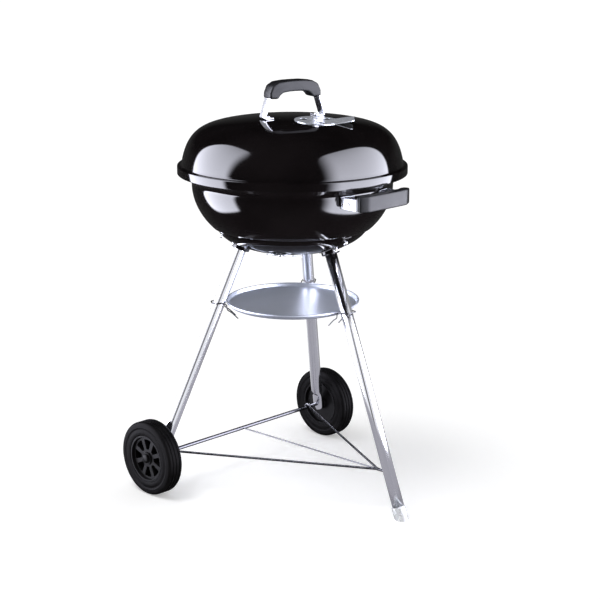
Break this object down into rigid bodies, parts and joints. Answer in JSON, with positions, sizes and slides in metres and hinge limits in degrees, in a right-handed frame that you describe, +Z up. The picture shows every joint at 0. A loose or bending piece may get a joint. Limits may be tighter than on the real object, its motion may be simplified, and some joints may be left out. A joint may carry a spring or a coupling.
{
  "type": "kettle charcoal grill",
  "caption": "Free-standing kettle charcoal grill: domed lid with damper and handle, bowl with side handle, splayed tube legs, ash tray, wire rack and axle with wheels.",
  "frame": {"origin": "on the floor, in the middle of the footprint's bounding box; the kettle's own upright axis is 46.3 mm towards -X", "axes": "+Z up, +X towards the leg with the foot cap and the side handle, the wheels' axle along Y"},
  "size_m": [0.5692, 0.5656, 0.8684],
  "materials": {
    "lid_enamel": "glossy black porcelain enamel",
    "bowl_enamel": "glossy black porcelain enamel",
    "bracket_enamel": "black enamel",
    "nylon": "glass-filled nylon, fine grain",
    "leg_aluminium": "polished tube",
    "handle_strap": "bright plated steel strap",
    "fastener": "bright plated steel",
    "axle_chrome": "chrome plated rod",
    "clear_plastic": "translucent polythene",
    "wheel_tread": "moulded polypropylene, satin",
    "wheel_hub": "moulded polypropylene, semi-gloss",
    "tray_aluminium": "satin pressed aluminium",
    "damper_aluminium": "brushed pressed aluminium",
    "grate_wire": "plated steel wire",
    "steel_wire": "zinc plated steel"
  },
  "bodies": {
    "frame": {"bowl_shell": "bowl_enamel", "leg_bracket_front": "bracket_enamel", "leg_bracket_right": "bracket_enamel", "leg_bracket_left": "bracket_enamel", "leg_bolt_front": "fastener", "leg_bolt_right": "fastener", "leg_bolt_left": "fastener", "leg_rivet_front": "fastener", "leg_rivet_right": "fastener", "leg_rivet_left": "fastener", "leg_front": "leg_aluminium", "leg_right": "leg_aluminium", "leg_left": "leg_aluminium", "foot_cap": "clear_plastic", "axle": "axle_chrome", "hub_cap_right": "wheel_hub", "hub_cap_left": "wheel_hub", "axle_washer_right": "steel_wire", "axle_washer_left": "steel_wire", "ash_tray": "tray_aluminium", "tray_clip_front": "steel_wire", "tray_clip_right": "steel_wire", "tray_clip_left": "steel_wire", "wire_rack": "steel_wire", "side_handle_bracket": "handle_strap", "side_handle_grip": "nylon", "side_handle_bolt_right": "fastener", "side_handle_bolt_left": "fastener", "side_handle_rivet_right": "fastener", "side_handle_rivet_left": "fastener", "grate_support_1": "steel_wire", "grate_support_2": "steel_wire", "grate_support_3": "steel_wire", "grate_support_4": "steel_wire", "bowl_damper_rivet_1": "fastener", "bowl_damper_rivet_2": "fastener", "bowl_damper_rivet_3": "fastener"},
    "lid": {"lid_shell": "lid_enamel", "lid_handle_strap": "handle_strap", "lid_handle_grip": "nylon", "lid_handle_bolt_right": "fastener", "lid_handle_bolt_left": "fastener", "lid_damper_rivet": "fastener"},
    "lid_damper": {"lid_damper": "damper_aluminium"},
    "cooking_grate": {"cooking_grate": "grate_wire"},
    "charcoal_grate": {"charcoal_grate": "grate_wire"},
    "bowl_damper_1": {"bowl_damper_1": "damper_aluminium"},
    "bowl_damper_2": {"bowl_damper_2": "damper_aluminium"},
    "bowl_damper_3": {"bowl_damper_3": "damper_aluminium"},
    "wheel_right": {"wheel_tyre_right": "wheel_tread", "wheel_hub_right": "wheel_hub"},
    "wheel_left": {"wheel_tyre_left": "wheel_tread", "wheel_hub_left": "wheel_hub"}
  },
  "joints": [
    {"name": "lid_lift", "type": "slide", "parent": "frame", "child": "lid", "axis": [0, 0, 1], "range_m": [0, 0.25]},
    {"name": "lid_damper_turn", "type": "hinge", "parent": "lid", "child": "lid_damper", "pos_m": [0.02056, 0.00351, 0.79096], "axis": [0.0607, 0.0032, 0.9982], "range_deg": [-60, 0]},
    {"name": "cooking_grate_lift", "type": "slide", "parent": "frame", "child": "cooking_grate", "axis": [0, 0, 1], "range_m": [0, 0.05]},
    {"name": "charcoal_grate_lift", "type": "slide", "parent": "frame", "child": "charcoal_grate", "axis": [0, 0, 1], "range_m": [0, 0.05]},
    {"name": "bowl_damper_1_turn", "type": "hinge", "parent": "frame", "child": "bowl_damper_1", "pos_m": [-0.00034, 0.07967, 0.52255], "axis": [0.1291, 0.2236, -0.9661], "range_deg": [0, 60]},
    {"name": "bowl_damper_2_turn", "type": "hinge", "parent": "frame", "child": "bowl_damper_2", "pos_m": [-0.13834, 0, 0.52255], "axis": [-0.2582, 0, -0.9661], "range_deg": [0, 60]},
    {"name": "bowl_damper_3_turn", "type": "hinge", "parent": "frame", "child": "bowl_damper_3", "pos_m": [-0.00034, -0.07967, 0.52255], "axis": [0.1291, -0.2236, -0.9661], "range_deg": [0, 60]},
    {"name": "wheel_right_spin", "type": "hinge", "parent": "frame", "child": "wheel_right", "pos_m": [-0.20534, 0.26245, 0.0793], "axis": [0, 1, 0], "continuous": true},
    {"name": "wheel_left_spin", "type": "hinge", "parent": "frame", "child": "wheel_left", "pos_m": [-0.20534, -0.26245, 0.0793], "axis": [0, 1, 0], "continuous": true}
  ]
}
